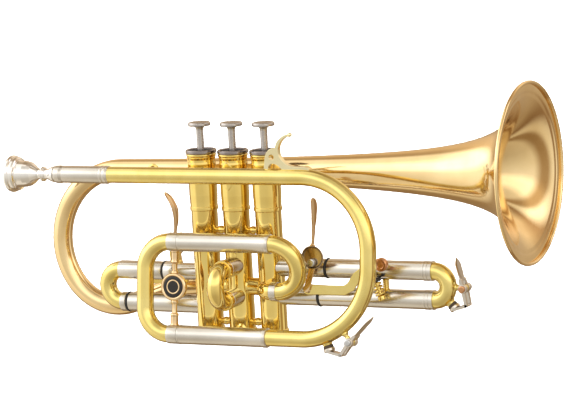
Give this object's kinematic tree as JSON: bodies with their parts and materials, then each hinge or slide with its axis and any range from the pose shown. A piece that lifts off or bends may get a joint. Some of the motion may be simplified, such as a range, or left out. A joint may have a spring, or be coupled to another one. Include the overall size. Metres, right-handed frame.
{
  "type": "cornet",
  "caption": "Short-model cornet with piston valves, wrapped tubing, pull slides, thumb and finger slide triggers, water keys, finger hook, flared bell and a mouthpiece.",
  "frame": {"origin": "on the middle valve's axis, level with the bell's axis", "axes": "+X along the bell's axis towards the bell's mouth; +Z along the valves towards the finger buttons; -Y is the player's right"},
  "size_m": [0.3829, 0.1285, 0.1819],
  "materials": {
    "brass": "lacquered",
    "rose_brass": "lacquered",
    "nickel_silver": "satin",
    "silver_plate": "polished",
    "monel": "lapped",
    "spring_steel": "drawn",
    "copper": "polished",
    "black_felt": "felt",
    "black_rubber": "matte",
    "cork": "matte",
    "black_enamel": "gloss",
    "ivory_nylon": "matte"
  },
  "bodies": {
    "horn": {"receiver": "nickel_silver", "leadpipe": "brass", "main_sleeves": "nickel_silver", "return_bow": "brass", "inlet_knuckle": "brass", "valve_casing_1": "brass", "valve_casing_2": "brass", "valve_casing_3": "brass", "casing_connectors": "brass", "casing_braces": "brass", "top_caps": "nickel_silver", "cap_felts": "black_felt", "bottom_caps": "nickel_silver", "valve_guides": "ivory_nylon", "bell": "rose_brass", "bell_crook": "rose_brass", "bell_braces": "brass", "pipe_braces": "brass", "finger_hook": "brass", "slide_port_tubes": "nickel_silver", "slide_bumpers": "black_rubber", "trigger_posts": "nickel_silver", "front_key_post": "brass", "pivot_screws": "spring_steel", "return_springs": "spring_steel", "valve_spring_1": "spring_steel", "valve_spring_2": "spring_steel", "valve_spring_3": "spring_steel"},
    "valve_1": {"piston_1": "monel", "stem_1": "nickel_silver", "button_1": "nickel_silver"},
    "valve_2": {"piston_2": "monel", "stem_2": "nickel_silver", "button_2": "nickel_silver"},
    "valve_3": {"piston_3": "monel", "stem_3": "nickel_silver", "button_3": "nickel_silver"},
    "main_slide": {"main_slide_bow": "brass", "main_slide_legs": "nickel_silver", "main_slide_brace": "brass", "badge": "black_enamel"},
    "first_slide": {"first_slide_bow": "brass", "first_slide_legs": "nickel_silver", "first_link": "brass"},
    "first_lever": {"first_trigger": "brass"},
    "second_slide": {"second_slide_bow": "brass", "second_slide_legs": "nickel_silver"},
    "third_slide": {"third_slide_bow": "brass", "third_slide_sleeves": "nickel_silver", "third_slide_brace": "brass", "third_link": "brass", "third_key_post": "brass", "third_slide_screws": "copper", "third_key_spring": "spring_steel"},
    "third_lever": {"third_trigger": "brass"},
    "third_key": {"third_key_lever": "nickel_silver", "third_key_cork": "cork"},
    "front_key": {"front_key_lever": "nickel_silver", "front_key_cork": "cork"},
    "mouthpiece": {"mouthpiece": "silver_plate"}
  },
  "joints": [
    {"name": "valve_1_press", "type": "slide", "parent": "horn", "child": "valve_1", "axis": [0, 0, -1], "range_m": [0, 0.0165], "stiffness_N_per_m": 110, "springref_m": -0.018, "deforming": ["valve_spring_1"]},
    {"name": "valve_2_press", "type": "slide", "parent": "horn", "child": "valve_2", "axis": [0, 0, -1], "range_m": [0, 0.0165], "stiffness_N_per_m": 110, "springref_m": -0.018, "deforming": ["valve_spring_2"]},
    {"name": "valve_3_press", "type": "slide", "parent": "horn", "child": "valve_3", "axis": [0, 0, -1], "range_m": [0, 0.0165], "stiffness_N_per_m": 110, "springref_m": -0.018, "deforming": ["valve_spring_3"]},
    {"name": "main_slide_pull", "type": "slide", "parent": "horn", "child": "main_slide", "axis": [-1, 0, 0], "range_m": [0, 0.03]},
    {"name": "first_lever_pivot", "type": "hinge", "parent": "horn", "child": "first_lever", "pos_m": [-0.054, 0.01, -0.057], "axis": [0, 1, 0], "range_deg": [0, 29], "stiffness_Nm_per_rad": 0.05, "springref_deg": -51.57},
    {"name": "first_slide_throw", "type": "slide", "parent": "horn", "child": "first_slide", "axis": [-1, 0, 0], "range_m": [0, 0.01]},
    {"name": "second_slide_pull", "type": "slide", "parent": "horn", "child": "second_slide", "axis": [0, -1, 0], "range_m": [0, 0.015]},
    {"name": "third_lever_pivot", "type": "hinge", "parent": "horn", "child": "third_lever", "pos_m": [0.0623, -0.01, -0.0586], "axis": [0, -1, 0], "range_deg": [0, 35], "stiffness_Nm_per_rad": 0.06, "springref_deg": -51.57},
    {"name": "third_slide_throw", "type": "slide", "parent": "horn", "child": "third_slide", "axis": [1, 0, 0], "range_m": [0, 0.012]},
    {"name": "third_key_pivot", "type": "hinge", "parent": "third_slide", "child": "third_key", "pos_m": [0.17002, 0, -0.07565], "axis": [0, -1, 0], "range_deg": [0, 12], "stiffness_Nm_per_rad": 0.02, "springref_deg": -51.57},
    {"name": "front_key_pivot", "type": "hinge", "parent": "horn", "child": "front_key", "pos_m": [0.09841, -0.03309, -0.109], "axis": [0, -0.9931, 0.1172], "range_deg": [0, 10], "stiffness_Nm_per_rad": 0.02, "springref_deg": -51.57},
    {"name": "mouthpiece_draw", "type": "slide", "parent": "horn", "child": "mouthpiece", "axis": [-1, 0, 0], "range_m": [0, 0.03]}
  ],
  "couplings": [
    {"joint": "first_lever_pivot", "follows": "first_slide_throw", "rad_per_m": 50.54},
    {"joint": "third_lever_pivot", "follows": "third_slide_throw", "rad_per_m": 50.79}
  ]
}
